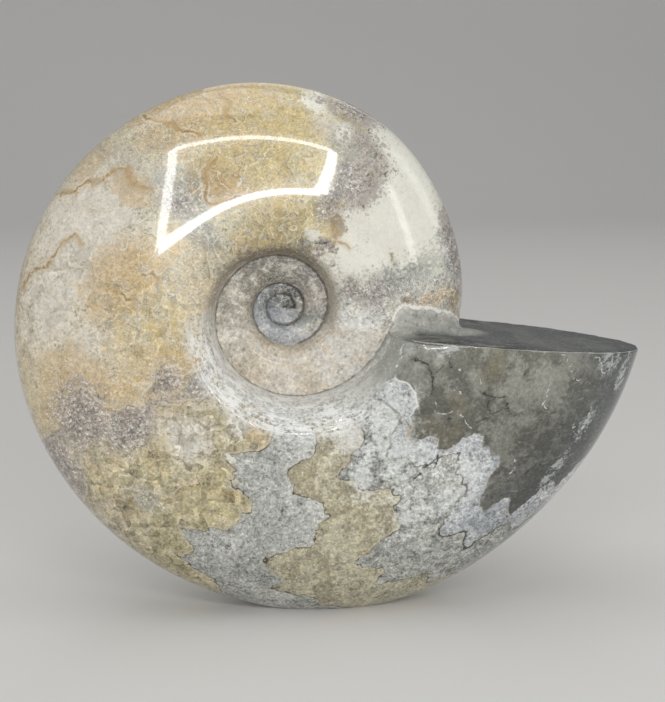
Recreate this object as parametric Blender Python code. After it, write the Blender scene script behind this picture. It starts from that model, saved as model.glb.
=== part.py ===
"""Polished ammonite fossil standing on its rim: one solid, mirrored about the plane of its coil.

World axes: the coil lies in the XZ plane, +Y is the coiling axis, and +Z is up. The mouth is at +X.
The origin is on the ground, under the middle of the bounding box. Lengths are in metres.

A place along the shell is a turn: 0 at the mouth, -1 one whorl earlier, and so on inwards.
Ratios called "over the rim" are over the rim radius of the same turn.
"""

import math

import bmesh
import bpy
from mathutils import Vector

# Driving dimensions
MOUTH_RADIUS = 0.088  # coiling axis to the rim of the shell at the mouth
MOUTH_ANGLE = math.radians(-7.5)  # the rim's place at the mouth, up from +X
MOUTH_LEAN = 0.026  # how far under the coiling axis the line of the mouth passes, over MOUTH_RADIUS
LEAN_REACH = 0.06  # turns over which the shell swings into that line
FIRST_TURN = -3.0  # where the coil starts, in the middle of the navel
AXIS_HEIGHT = 0.845 * MOUTH_RADIUS  # coiling axis above the ground flat that the fossil stands on

# Growth of the coil
RIM_GROWTH = 2.067  # rim radius after one turn, over the radius before
SEAM_AT_MOUTH = 0.28  # radius of the seam between whorls at the mouth, over MOUTH_RADIUS
SEAM_GROWTH = 2.44
SEAM_BEND = 0.078  # how far the seam bows out of an even spiral in mid-turn
# Unevenness that grinding left on the rim: middle (turn), height (over the rim), half width (turns)
RIM_SWELLS = ((-0.896, -0.019, 0.05), (-0.62, -0.006, 0.05), (-0.36, -0.011, 0.06), (-0.185, 0.022, 0.05))

# Whorl section, over the rim
WIDEST = 0.43  # radius where the flanks are widest
HALF_THICKNESS = 0.235
FLANK_POWER = 2.2  # how squarely the flank turns in to the rim: 2 is a quarter of an ellipse
SHOULDER_POWER = 4.0  # how squarely the flank turns down into the navel

# The rock in the mouth climbs the whorl inside it as a sloping foot
FOOT_COLUMNS = 1  # columns of the mesh that the foot climbs at the seam
FOOT_WIDTH = 0.045 * MOUTH_RADIUS  # how far it reaches over the face of the mouth
FOOT_SHARE = 0.5  # the most of that face that it covers where the face is narrow
FOOT_RISE = 1.3  # how much higher the foot is on the flank, over its height at the seam
FOOT_RISE_POWER = 8  # how soon it gets there
FOOT_DROP = 0.55  # share of its height that the foot loses at the rim of the whorl inside
FOOT_DROP_POWER = 4  # how late it does

# Mesh
COLUMNS = 64  # in each turn
INNER_STEPS = 7  # from a whorl's seam to the seam of the whorl over it
OUTER_STEPS = 7  # from there to the rim
STEP_SPACING = 1.25  # over 1, the inner steps are closer together near the seam
SHARP_ANGLE = math.radians(22)
SAME_PLACE = 1e-7

# Finish
STONE_COLOUR = (0.62, 0.56, 0.43, 1.0)
STONE_ROUGHNESS = 0.12


def swell(turn):
    """Sum of the cosine bells in RIM_SWELLS at this turn."""
    total = 0.0
    for middle, height, reach in RIM_SWELLS:
        away = abs(turn - middle) / (2 * reach)
        if away < 1:
            total += height * 0.5 * (1 + math.cos(math.pi * away))
    return total


def even_rim(turn):
    """Rim radius without the unevenness."""
    return MOUTH_RADIUS * RIM_GROWTH**turn


def rim_radius(turn):
    return even_rim(turn) * (1 + swell(turn))


def seam_radius(turn):
    """Radius of the line where this whorl meets the one inside it."""
    return MOUTH_RADIUS * SEAM_AT_MOUTH * SEAM_GROWTH**turn * math.exp(SEAM_BEND * turn * (turn + 1))


def outer_flank(turn, radius):
    """Half thickness of the whorl outside its widest place."""
    widest = WIDEST * even_rim(turn)
    reach = max(0.0, radius - widest) / (rim_radius(turn) - widest)
    return HALF_THICKNESS * even_rim(turn) * math.sqrt(max(0.0, 1 - reach**FLANK_POWER))


def half_thickness(turn, radius):
    """Half thickness of the whorl at any radius from its seam, on the whorl inside, to its rim."""
    widest = WIDEST * even_rim(turn)
    if radius >= widest:
        return outer_flank(turn, radius)
    top = HALF_THICKNESS * even_rim(turn)
    seam_height = outer_flank(turn - 1, seam_radius(turn))
    inwards = (widest - radius) / (widest - seam_radius(turn))
    return top * math.sqrt(1 - inwards**SHOULDER_POWER * (1 - (seam_height / top) ** 2))


def lean(turn, radius):
    """Angle that swings the shell near the mouth, so that the mouth is a plane past the axis."""
    near = max(0.0, 1 - min(abs(turn), abs(turn + 1)) / LEAN_REACH)
    if near == 0:
        return 0.0
    return near * (math.asin(MOUTH_LEAN) - math.asin(MOUTH_LEAN * MOUTH_RADIUS / radius))


def in_world(turn, radius, height):
    """A point of the near side, which faces -Y."""
    angle = MOUTH_ANGLE + 2 * math.pi * turn + lean(turn, radius)
    return Vector((radius * math.cos(angle), -height, AXIS_HEIGHT + radius * math.sin(angle)))


def section_radius(turn, step):
    """Radius of a step of a whorl's section, from 0 at its seam, past the next seam, to its rim."""
    middle = seam_radius(turn + 1)
    if step <= INNER_STEPS:
        inner = seam_radius(turn)
        return inner + (middle - inner) * (step / INNER_STEPS) ** STEP_SPACING
    return middle + (rim_radius(turn) - middle) * math.sin(math.pi / 2 * (step - INNER_STEPS) / OUTER_STEPS)


def foot_turn(step):
    """Turn of the foot's upper edge on the whorl inside, which drops towards that whorl's rim."""
    share = (step - INNER_STEPS) / OUTER_STEPS
    seam_rise = FOOT_COLUMNS / COLUMNS * section_radius(-1, INNER_STEPS) / section_radius(-1, step)
    rise = 1 + FOOT_RISE * (1 - (1 - share) ** FOOT_RISE_POWER)
    return -1 + seam_rise * rise * (1 - FOOT_DROP * share**FOOT_DROP_POWER)


def section_point(column, step):
    turn = column / COLUMNS
    if column == FOOT_COLUMNS - COLUMNS and step > INNER_STEPS:
        turn = foot_turn(step)
    radius = section_radius(turn, step)
    return in_world(turn, radius, half_thickness(turn, radius))


def under_foot(column):
    return -COLUMNS <= column < FOOT_COLUMNS - COLUMNS


def add_face(mesh, corners):
    """A face on the corners, less any that repeat."""
    mesh.faces.new([corner for n, corner in enumerate(corners) if corner is not corners[n - 1]])


def shell_columns(mesh, side):
    """Vertices of one side, as a dictionary of column number to its vertices from seam to rim.

    Column 0 is the mouth. A seam's vertex is also vertex INNER_STEPS of the whorl inside it.
    """
    first = round(FIRST_TURN * COLUMNS)
    columns = {}
    for column in range(first, 1):
        covered = column < -COLUMNS or under_foot(column)
        last_step = INNER_STEPS if covered else INNER_STEPS + OUTER_STEPS
        inside = columns.get(column - COLUMNS)
        row = [inside[INNER_STEPS]] if inside else [mesh.verts.new(side(section_point(column, 0)))]
        row += [mesh.verts.new(side(section_point(column, step))) for step in range(1, last_step + 1)]
        columns[column] = row
    return columns


def skin_whorls(mesh, columns):
    """Quads between neighbouring columns, as far out as both of them reach."""
    for column in sorted(columns)[:-1]:
        here, ahead = columns[column], columns[column + 1]
        for step in range(min(len(here), len(ahead)) - 1):
            add_face(mesh, [here[step], ahead[step], ahead[step + 1], here[step + 1]])


def fill_navel(mesh, columns, side):
    """A fan from the middle of the navel to the start of the coil."""
    first = min(columns)
    height = half_thickness(FIRST_TURN, section_radius(FIRST_TURN, INNER_STEPS))
    middle = mesh.verts.new(side(in_world(FIRST_TURN, 0.0, height)))
    start = columns[first]
    loop = [columns[column][0] for column in range(first, first + COLUMNS + 1)] + start[-2::-1]
    for here, ahead in zip(loop, loop[1:]):
        add_face(mesh, [middle, ahead, here])


def foot_lines(mesh, columns, side):
    """The foot's upper edge, on the whorl inside, and its lower edge, in the plane of the mouth."""
    climb = [columns[column][INNER_STEPS] for column in range(-COLUMNS, FOOT_COLUMNS - COLUMNS)]
    upper = climb + columns[FOOT_COLUMNS - COLUMNS][INNER_STEPS:]
    lower = [upper[0]]
    for place in range(1, len(upper)):
        share = place / (len(upper) - 1)
        radius = section_radius(-1, INNER_STEPS + OUTER_STEPS * share)
        base = in_world(-1, radius, half_thickness(-1, radius))
        mouth_radius = section_radius(0, (INNER_STEPS + OUTER_STEPS) * share)
        edge = in_world(0, mouth_radius, half_thickness(0, mouth_radius))
        width = min(FOOT_WIDTH, FOOT_SHARE * (edge - base).length)
        lower.append(mesh.verts.new(side(base + (edge - base).normalized() * width)))
    return upper, lower


def close_mouth(mesh, near, far, near_foot, far_foot):
    """The sloping foot on both sides, and one flat face for the rest of the mouth."""
    for upper, lower in (near_foot, far_foot):
        for place in range(len(upper) - 1):
            add_face(mesh, [upper[place], lower[place], lower[place + 1], upper[place + 1]])
    outer_line = near[0] + far[0][-2::-1]
    inner_line = near_foot[1] + far_foot[1][-2::-1]
    mesh.faces.new(outer_line + inner_line[-2:0:-1])


def grind_base(mesh):
    """Cuts the rim off flat at the ground."""
    everything = mesh.verts[:] + mesh.edges[:] + mesh.faces[:]
    cut = bmesh.ops.bisect_plane(
        mesh, geom=everything, plane_co=(0, 0, 0), plane_no=(0, 0, -1), clear_outer=True, dist=SAME_PLACE
    )
    rim_edges = [part for part in cut["geom_cut"] if isinstance(part, bmesh.types.BMEdge)]
    bmesh.ops.contextual_create(mesh, geom=rim_edges)


def centre(mesh):
    """Moves the solid along X so that the origin is under the middle of its box."""
    places = [corner.co.x for corner in mesh.verts]
    bmesh.ops.translate(mesh, verts=mesh.verts[:], vec=(-(min(places) + max(places)) / 2, 0, 0))


def stone():
    material = bpy.data.materials.new("polished_fossil_stone")
    material.use_nodes = True
    shader = material.node_tree.nodes["Principled BSDF"]
    shader.inputs["Base Color"].default_value = STONE_COLOUR
    shader.inputs["Roughness"].default_value = STONE_ROUGHNESS
    shader.inputs["Metallic"].default_value = 0.0
    return material


def near_side(point):
    return point


def far_side(point):
    return Vector((point.x, -point.y, point.z))


def ammonite():
    mesh = bmesh.new()
    halves = []
    for side in (near_side, far_side):
        columns = shell_columns(mesh, side)
        skin_whorls(mesh, columns)
        fill_navel(mesh, columns, side)
        halves.append((columns, foot_lines(mesh, columns, side)))
    (near, near_foot), (far, far_foot) = halves
    close_mouth(mesh, near, far, near_foot, far_foot)
    bmesh.ops.remove_doubles(mesh, verts=mesh.verts[:], dist=SAME_PLACE)
    grind_base(mesh)
    bmesh.ops.triangulate(mesh, faces=mesh.faces[:])
    bmesh.ops.recalc_face_normals(mesh, faces=mesh.faces[:])
    centre(mesh)
    data = bpy.data.meshes.new("ammonite")
    mesh.to_mesh(data)
    mesh.free()
    data.shade_smooth()
    data.set_sharp_from_angle(angle=SHARP_ANGLE)
    data.materials.append(stone())
    bpy.context.scene.collection.objects.link(bpy.data.objects.new("ammonite", data))


def main():
    for old in list(bpy.data.objects):
        bpy.data.objects.remove(old)
    ammonite()


main()
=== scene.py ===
import math

import bpy
import numpy as np
from mathutils import Matrix, Vector, noise


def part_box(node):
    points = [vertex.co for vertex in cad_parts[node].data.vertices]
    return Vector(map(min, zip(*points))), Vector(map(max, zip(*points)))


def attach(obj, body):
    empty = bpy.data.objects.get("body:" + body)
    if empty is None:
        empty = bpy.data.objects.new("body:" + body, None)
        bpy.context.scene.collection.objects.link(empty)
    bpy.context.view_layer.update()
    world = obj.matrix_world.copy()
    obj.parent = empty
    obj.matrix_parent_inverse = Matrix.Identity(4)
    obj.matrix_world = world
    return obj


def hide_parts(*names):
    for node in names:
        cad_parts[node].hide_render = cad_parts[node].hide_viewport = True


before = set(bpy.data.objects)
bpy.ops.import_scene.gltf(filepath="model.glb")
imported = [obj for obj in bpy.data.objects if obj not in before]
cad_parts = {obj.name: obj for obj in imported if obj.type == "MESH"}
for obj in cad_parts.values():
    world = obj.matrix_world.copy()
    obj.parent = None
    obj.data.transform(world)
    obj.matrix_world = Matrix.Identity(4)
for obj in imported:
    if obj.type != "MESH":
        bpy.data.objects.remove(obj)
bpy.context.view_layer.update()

scene = bpy.context.scene
scene.view_settings.view_transform = "Standard"

# Lengths of the coil are in mouth radii until the shell is fitted to the solid's box.
# A turn is 0 at the mouth and -1 one whorl earlier. A share is 0 at a whorl's seam and 1 on its rim.
coil = {
    "mouthAngle": math.radians(-7.5),
    "mouthLean": 0.026,
    "leanReach": 0.06,
    "firstTurn": -3,
    "axisHeight": 0.845,
    "rimGrowth": 2.067,
    "seamAtMouth": 0.28,
    "seamGrowth": 2.44,
    "seamBend": 0.078,
    # middle (turn), height (over the rim), half width (turns)
    "swells": ((-0.896, -0.019, 0.05), (-0.62, -0.006, 0.05), (-0.36, -0.011, 0.06), (-0.185, 0.022, 0.05)),
    "widest": 0.43,
    "halfThickness": 0.235,
    "flankPower": 2.2,
    "shoulderPower": 4,
}
coilMesh = {
    "evenColumns": 346,
    "mouthColumns": (0.0055, 0.0034, 0.0019, 0.0008),  # turns before the mouth
    "wallSteps": 26,
    "wallSpacing": 1.25,  # over 1, the steps are closer together near the seam
    "flankSteps": 44,
    "footColumns": 5,
    "footRows": 6,
    "faceRows": (0.0, 0.05, 0.12, 0.2, 0.3, 0.4, 0.5, 0.6, 0.7, 0.78, 0.85, 0.91, 0.95, 0.98, 1.0),
    "navelRings": (0.7, 0.4, 0.15),
}


def unit(value):
    return np.clip(value, 0, 1)


def evenRim(turn):
    return coil["rimGrowth"] ** turn


def rimRadius(turn):
    swell = 0
    for middle, height, reach in coil["swells"]:
        away = unit(np.abs(turn - middle) / (2 * reach))
        swell = swell + height * 0.5 * (1 + np.cos(math.pi * away))
    return evenRim(turn) * (1 + swell)


def seamRadius(turn):
    return coil["seamAtMouth"] * coil["seamGrowth"] ** turn * np.exp(coil["seamBend"] * turn * (turn + 1))


def outerFlank(turn, radius):
    widest = coil["widest"] * evenRim(turn)
    reach = unit((radius - widest) / (rimRadius(turn) - widest))
    return coil["halfThickness"] * evenRim(turn) * np.sqrt(1 - reach ** coil["flankPower"])


def halfThickness(turn, radius):
    widest = coil["widest"] * evenRim(turn)
    top = coil["halfThickness"] * evenRim(turn)
    seamHeight = outerFlank(turn - 1, seamRadius(turn))
    inwards = unit((widest - radius) / (widest - seamRadius(turn)))
    wall = top * np.sqrt(1 - inwards ** coil["shoulderPower"] * (1 - (seamHeight / top) ** 2))
    return np.where(radius >= widest, outerFlank(turn, radius), wall)


def coilPlace(turn, radius, height):  # the near side faces -Y and has a height under 0
    near = unit(1 - np.minimum(np.abs(turn), np.abs(turn + 1)) / coil["leanReach"])
    lean = near * (math.asin(coil["mouthLean"]) - np.arcsin(np.clip(coil["mouthLean"] / radius, -1, 1)))
    angle = coil["mouthAngle"] + 2 * math.pi * turn + lean
    return np.stack([radius * np.cos(angle), height, coil["axisHeight"] + radius * np.sin(angle)], -1)


def shareOf(turn, radius):
    return (radius - seamRadius(turn)) / (rimRadius(turn) - seamRadius(turn))


def wallRadius(turn, step):  # step 0 to 1 from the whorl's seam to the seam of the whorl over it
    return seamRadius(turn) + (seamRadius(turn + 1) - seamRadius(turn)) * step ** coilMesh["wallSpacing"]


def flankRadius(turn, step):  # and from there to the rim
    return seamRadius(turn + 1) + (rimRadius(turn) - seamRadius(turn + 1)) * np.sin(math.pi / 2 * step)


# Patches of colour on the flanks, in percent: middle (turn, share), half widths (turns, shares), strength
stains = {
    "cream": (
        (-55.5, 78, 5, 22, 120), (-49, 80, 3.5, 16, 90), (-46, 62, 2.5, 12, 60), (-87, 25, 4, 12, 90),
        (-12, 28, 2, 13, 90), (-15, 16, 2, 10, 80), (-14.5, 57, 1.2, 6, 50), (-98.5, 17, 3, 12, 90),
        (-6.5, 85.5, 0.9, 1.8, 100), (-3.8, 85.5, 0.8, 1.6, 90), (-1.2, 92.5, 0.8, 1.6, 90),
        # the patches at shares 7 and 19 next to the mouth's edge are partly pale stone, partly painted glints
        (-0.3, 84, 0.6, 3, 80), (-0.6, 19, 0.8, 3, 120), (-1.2, 7, 1, 2, 80), (-34, 37, 3, 8, 60),
        (-8.8, 15, 2, 7, 120), (-11.5, 62, 1.2, 5, 60), (-9, 55, 1, 5, 60), (-80, 77, 1.5, 8, 90),
        (-76.3, 82, 1.2, 8, 80), (-50.8, 70, 2, 10, 90), (-29.7, 17, 1.4, 7, 90), (-16.5, 35, 1, 7, 80),
    ),
    "tan": (
        (-51.5, 50, 3.5, 16, 100), (-59.2, 70, 1.2, 14, 110), (-65, 88, 3.5, 14, 110),
        (-66, 50, 2.8, 14, 110), (-83, 27, 2, 6, 90), (-96.6, 70, 1, 18, 40), (-70, 92, 4, 10, 90),
        (-43, 72, 2.5, 16, 80), (-42, 30, 4, 15, 70), (-118.5, 25, 2, 25, 90), (-41, 53, 2, 10, 100),
        (-40.5, 19, 2, 4, 90), (-26.8, 17, 1.4, 5, 100), (-50.5, 48, 1.2, 10, 110), (-96.5, 85, 0.8, 5, 40),
        (-58.5, 95, 2, 6, 80), (-53, 42, 2, 6, 70), (-70, 78, 3, 10, 70),
    ),
    "yellow": (
        (-71, 65, 5, 22, 100), (-75.2, 58, 1.8, 28, 90), (-75.5, 26, 3.5, 10, 120), (-70, 20, 5, 12, 90),
        (-47, 30, 4, 18, 45), (-35.5, 66, 2.5, 18, 90), (-29.7, 45, 2, 10, 80), (-73.5, 90, 2.5, 10, 60),
    ),
    "grey": (
        (-61.7, 52, 2.2, 15, 110), (-60.5, 30, 1.8, 12, 90), (-92.5, 93, 3, 8, 120),
        (-77.5, 10, 1.8, 6, 100), (-93, 50, 2.2, 25, 80), (-33.5, 71, 1.2, 5, 80), (-61, 86, 2, 10, 15),
        (-91, 90, 2, 6, 100), (-93.5, 62, 1.5, 10, 80), (-79.3, 74, 2, 16, 110),
    ),
    "mauve": (
        (-81.2, 62, 2.4, 15, 120), (-79, 43, 1.7, 14, 120), (-78.3, 96, 2.2, 6, 110),
        (-80.5, 80, 1.8, 10, 50), (-38.2, 56, 1.8, 12, 130), (-41, 73, 2.2, 12, 110),
        (-38.5, 94, 1.8, 5, 100), (-40.5, 29, 1.6, 7, 100), (-92, 17, 2.6, 6, 120), (-94.5, 30, 2, 14, 90),
        (-61, 50, 1, 7, 80), (-195, 25, 6, 30, 70), (-37.5, 18, 2, 4, 70), (-92.5, 95, 3, 5, 120),
    ),
    "white": (
        (-87.2, 62, 4.2, 34, 130), (-84.5, 38, 3, 16, 100), (-87, 22, 3.5, 10, 90),
        (-83.5, 93, 3.5, 10, 110), (-75.5, 93, 1, 7, 80), (-78.2, 82, 0.8, 6, 50), (-78.5, 19, 1.4, 4, 70),
        (-96.5, 18, 1.2, 5, 80), (-28.4, 43.5, 0.6, 1.2, 100), (-29.2, 31.5, 0.8, 1.2, 100),
    ),
    "brown": (
        (-27.9, 45.5, 0.6, 1.4, 110), (-34.6, 81, 0.4, 2.5, 130), (-33.9, 78, 0.4, 2, 110),
        (-96.3, 54, 0.6, 4, 80), (-8.2, 38, 1.2, 5, 110), (-9.2, 29, 1.4, 3.5, 100), (-97, 92, 1, 7, 70),
        (-81.5, 31, 1.3, 6, 100), (-1.8, 38.5, 1.4, 4, 120), (-5.5, 33, 1.2, 4, 80),
        (-18.2, 45, 0.3, 1.2, 110), (-90.5, 50, 1.2, 2, 50), (-18.2, 67, 0.4, 1, 120),
        (-65.3, 50, 1.4, 9, 30),
    ),
}


radiusMm = 88.0  # the mouth radius, for the distances that the stone's shader reads
farMm = 50.0  # a distance that stands for nowhere near
flankBow = 1.15  # length of the flank from seam to rim, over the difference of their radii
stainReach = 1.3  # half widths at which a patch has faded away
farSide = {"stainShift": 0.035, "lineShift": 0.012, "lineStretch": 0.08}  # its marks aren't quite the same


def stainFields(turn, share, side):
    turn = turn + farSide["stainShift"] * (side > 0) * (1 - share)
    fields = []
    for patches in stains.values():
        field = np.full(turn.shape, -1.0)
        for middleTurn, middleShare, turns, shares, strength in np.array(patches) / 100:
            away = np.hypot((turn - middleTurn) / turns, (share - middleShare) / shares)
            field = np.maximum(field, strength * (stainReach - away))
        fields.append(np.clip(field, -1, 1))
    return np.stack(fields, -1)


# Cracks and veins, and bands of tan growth: places along each, in percent (turn, share)
cracks = {
    "dark": (
        ((-6.1, 44.5), (-5.8, 45.5), (-5.5, 47), (-5.1, 46.6), (-5, 46)),
        ((-4.5, 53), (-4.3, 51), (-3.8, 49.5), (-3.7, 47.5), (-4, 43), (-3.85, 39)),
        ((-4.7, 44), (-4.3, 43), (-4.1, 43.2)),
        ((-6, 22.2), (-5.6, 22.8), (-5, 21), (-3.6, 18), (-3, 16), (-2.7, 13.5), (-2.65, 9.5)),
        ((-7.5, 34), (-7, 34.5)),
        ((-2.5, 23.5), (-1.9, 21.5)),
        ((-6.7, 80), (-6.7, 77), (-7.5, 75.5)),
        ((-12.6, 44.5), (-11.6, 44), (-10.8, 45.5), (-10.3, 43), (-10, 42)),
        ((-82, 20), (-81.5, 20), (-80.3, 16.5), (-79.7, 15)),
        ((-78.2, 51.2), (-78.1, 50.8)),
        ((-1.7, 51), (-1.5, 51.5)),
    ),
    "pale": (
        ((-9, 9.5), (-7.5, 9.2), (-6.5, 8.6), (-6, 7.8), (-5.2, 6.8), (-4, 6.2), (-3, 5.5), (-1.5, 4.5),
         (0, 3.5)),
        ((-8, 70), (-7.9, 71), (-7.7, 70), (-7.4, 69), (-7.1, 66.5)),
        ((-3.9, 67), (-3.5, 66.5), (-3.5, 64.5), (-3.3, 63.2), (-2.7, 63.3), (-2.1, 61.5)),
        ((-0.2, 76.5), (-0.35, 79), (-1, 82), (-1, 84.3), (-0.6, 85), (0, 84.5)),
        ((0, 62), (-0.4, 65.2)),
        ((0, 92.5), (-0.9, 92.6), (-1.9, 92)),
        ((-3.2, 84.8), (-4.1, 85.3)),
        ((-4.4, 84), (-4.4, 82.5), (-4, 80)),
        ((-1.65, 73), (-1.5, 73.5), (-1.4, 70), (-0.9, 68), (-0.9, 66.5)),
        ((-0.5, 65), (-0.3, 63), (0, 62)),
        ((-6.8, 45), (-6.75, 42), (-6.35, 38.5), (-6.1, 36), (-6.1, 34.5), (-6.9, 32), (-7.35, 30),
         (-7, 28), (-6.4, 26.2)),
        ((-4.6, 33.5), (-4.5, 32), (-4.5, 29.5), (-4.4, 28)),
        ((-2.6, 27), (-1.8, 22.5)),
        ((-3.15, 38), (-2.9, 36)),
        ((-6.1, 63), (-6, 64), (-5.85, 63.5)),
        ((-71.8, 57.5), (-70.5, 57), (-70, 55), (-69, 54), (-68.3, 50), (-67.6, 44)),
        ((-65.5, 61), (-64.3, 58), (-63.8, 50), (-62.9, 45), (-63.1, 39)),
        ((-59, 28), (-59.3, 26.5), (-58.2, 24), (-58, 20.5), (-56, 20.5), (-55.3, 18), (-54.8, 14)),
        ((-45.9, 24.5), (-45.6, 22), (-44.7, 21.8), (-44.5, 20), (-44.1, 16)),
        ((-66.5, 24.5), (-66, 20), (-64, 18), (-62.5, 14), (-63.5, 12)),
        ((-53, 29), (-52.2, 30.5), (-51.5, 27), (-51, 23), (-52, 21.5)),
    ),
    "tan": (
        ((-55.7, 98), (-56.5, 92), (-57.7, 90), (-57.5, 86), (-59.5, 84), (-60, 80), (-59.3, 73), (-60, 65)),
        ((-49.5, 97), (-50.8, 93), (-51.2, 87), (-53, 84), (-54, 80), (-53.5, 75)),
        ((-66.5, 62), (-64.8, 57), (-64.3, 50), (-63.5, 45), (-63.7, 40), (-65.5, 38.5), (-67.2, 38)),
        ((-69, 79), (-68.4, 84), (-69, 90), (-68.5, 95)),
        ((-63.2, 98), (-63.6, 93), (-64.5, 88), (-65, 82), (-66, 77)),
        ((-50.3, 56), (-50.6, 50), (-49.8, 45), (-50.2, 41)),
        ((-52.5, 41), (-53.2, 37), (-52.5, 33)),
        ((-85.2, 27), (-83.5, 25.5), (-82.5, 23), (-81.8, 27), (-80.5, 28)),
    ),
}


def lineFields(turn, share, alongMm, acrossMm, side):  # to the nearest line of each kind, in mm
    turn = turn + farSide["lineShift"] * (side > 0)
    share = share * (1 + farSide["lineStretch"] * (side > 0))
    fields = []
    for lines in cracks.values():
        nearest = [np.full(turn.shape, value * farMm) for value in (0.8, 0.6, 1)]  # x, y and how far that is
        for line in lines:
            line = np.array(line) / 100
            for (turnA, shareA), (turnB, shareB) in zip(line, line[1:]):
                startX, startY = (turnA - turn) * alongMm, (shareA - share) * acrossMm
                runX, runY = (turnB - turnA) * alongMm, (shareB - shareA) * acrossMm
                part = unit(-(startX * runX + startY * runY) / (runX**2 + runY**2))
                x, y = startX + part * runX, startY + part * runY
                away = np.hypot(x, y)
                closer = away < nearest[2]
                nearest = [np.where(closer, new, old) for new, old in zip((x, y, away), nearest)]
        fields += nearest
    return np.stack(fields, -1)


def capped(distance):
    return np.clip(distance, 0, farMm)


def turnMm(radius):  # the length of a whole turn
    return 2 * math.pi * radius * radiusMm


# Where each mark stands in a point's row
column = {"turn": 0, "share": 1, "face": 2, "cream": 5, "mouthEdge": 6, "crustLine": 7, "seamGap": 8}
otherStains, allLines = slice(9, 15), slice(15, 24)


def marksOf(turn, radius, side, face, mouthEdge, crustLine, seamGap):
    share = shareOf(turn, radius)
    alongMm = turnMm(radius)
    acrossMm = (rimRadius(turn) - seamRadius(turn)) * radiusMm * flankBow
    patches = stainFields(turn, share, side)
    columns = [turn, share, face, 1 / alongMm, 1 / acrossMm, patches[..., 0], mouthEdge, crustLine, seamGap]
    lines = lineFields(turn, share, alongMm, acrossMm, side)
    return np.concatenate([np.stack(np.broadcast_arrays(*columns), -1), patches[..., 1:], lines], -1)


# Points of every patch of the mesh with their marks, and the faces between them
net = {"places": [], "marks": [], "faces": [], "count": 0}
joins = []  # pairs of point arrays that are one vertex each


def addPoints(places, marks):
    shape = places.shape[:-1]
    points = np.arange(net["count"], net["count"] + math.prod(shape)).reshape(shape)
    net["places"].append(places.reshape(-1, 3))
    net["marks"].append(marks.reshape(-1, marks.shape[-1]))
    net["count"] += points.size
    return points


def addFace(corners, side):
    net["faces"].append([int(c) for c in (corners if side < 0 else corners[::-1])])


def skin(points, side):  # quads over a grid whose first axis runs with the coil or towards the mouth's edge
    corners = [points[:-1, :-1], points[:-1, 1:], points[1:, 1:], points[1:, :-1]]
    for quad in np.stack(corners, -1).reshape(-1, 4):
        addFace(quad, side)


def strip(first, second, side):  # triangles between two rows of different length
    a = b = 0
    while a < len(first) - 1 or b < len(second) - 1:
        aheadA = (a + 1) / (len(first) - 1)
        aheadB = (b + 1) / (len(second) - 1)
        if b == len(second) - 1 or (a < len(first) - 1 and aheadA <= aheadB):
            corners = [first[a], second[b], first[a + 1]]
            a += 1
        else:
            corners = [first[a], second[b], second[b + 1]]
            b += 1
        addFace(corners, side)


evenColumns = coilMesh["evenColumns"]
splits = np.concatenate([np.arange(evenColumns) / evenColumns, 1 - np.array(coilMesh["mouthColumns"])])
splits.sort()
perTurn = len(splits)
turns = np.concatenate([coil["firstTurn"] + whorl + splits for whorl in range(-coil["firstTurn"])] + [[0.0]])
wallSteps, flankSteps = coilMesh["wallSteps"], coilMesh["flankSteps"]
lastWhorl = 2 * perTurn
footFirst = lastWhorl + coilMesh["footColumns"]

# The rock in the mouth climbs the whorl inside
foot = {
    # share of the way from the seam to the rim, turns climbed
    "line": ((0, 0), (0.024, 0.0255), (0.13, 0.033), (0.28, 0.0285), (0.46, 0.0255), (0.64, 0.022),
             (0.82, 0.0175), (0.96, 0.011), (1, 0.009)),
    "roughness": 0.0022,
    "width": 0.045,
    "most": 0.5,  # of the mouth's flat
    "sag": 0.7,
    "stoneTurns": (-0.995, -0.99),  # that the stone's shader reads, from the seam to the rim
}


def footTurns(steps):
    shares = np.sin(math.pi / 2 * steps)
    rises = np.interp(shares, *zip(*foot["line"]))
    rough = [noise.noise(Vector((9 * s, 3, 0))) + 0.5 * noise.noise(Vector((31 * s, 7, 0))) for s in shares]
    rises = rises + foot["roughness"] * np.array(rough) * unit(8 * shares) * unit(8 * (1 - shares))
    rises[0] = turns[footFirst] + 1
    return -1 + rises


def coilPoints(turn, radius, side, crustLine, seamGap):
    mouthEdge = capped(-turn * turnMm(radius))
    return addPoints(coilPlace(turn, radius, side * halfThickness(turn, radius)),
                     marksOf(turn, radius, side, 0, mouthEdge, crustLine, seamGap))


def shellSide(side):
    steps = np.linspace(0, 1, wallSteps + 1)[None, :]
    turn = turns[:, None] + 0 * steps
    radius = wallRadius(turn, steps)
    gapAbove = np.where(turn < -1, seamRadius(turn + 1) - radius, 1)
    gap = radiusMm * np.minimum(radius - seamRadius(turn), gapAbove)
    walls = coilPoints(turn, radius, side, farMm, gap)
    joins.append((walls[perTurn:, 0], walls[:-perTurn, -1]))
    skin(walls, side)

    steps = np.linspace(0, 1, flankSteps + 1)
    start = footTurns(steps)
    onward = (turns[footFirst:, None] - turns[footFirst]) / -turns[footFirst]
    turn = start * (1 - onward)
    radius = flankRadius(turn, steps)
    flank = coilPoints(turn, radius, side, capped((turn - start) * turnMm(radius)), farMm)
    joins.append((flank[:, 0], walls[footFirst:, -1]))
    skin(flank, side)
    return walls, flank


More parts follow.
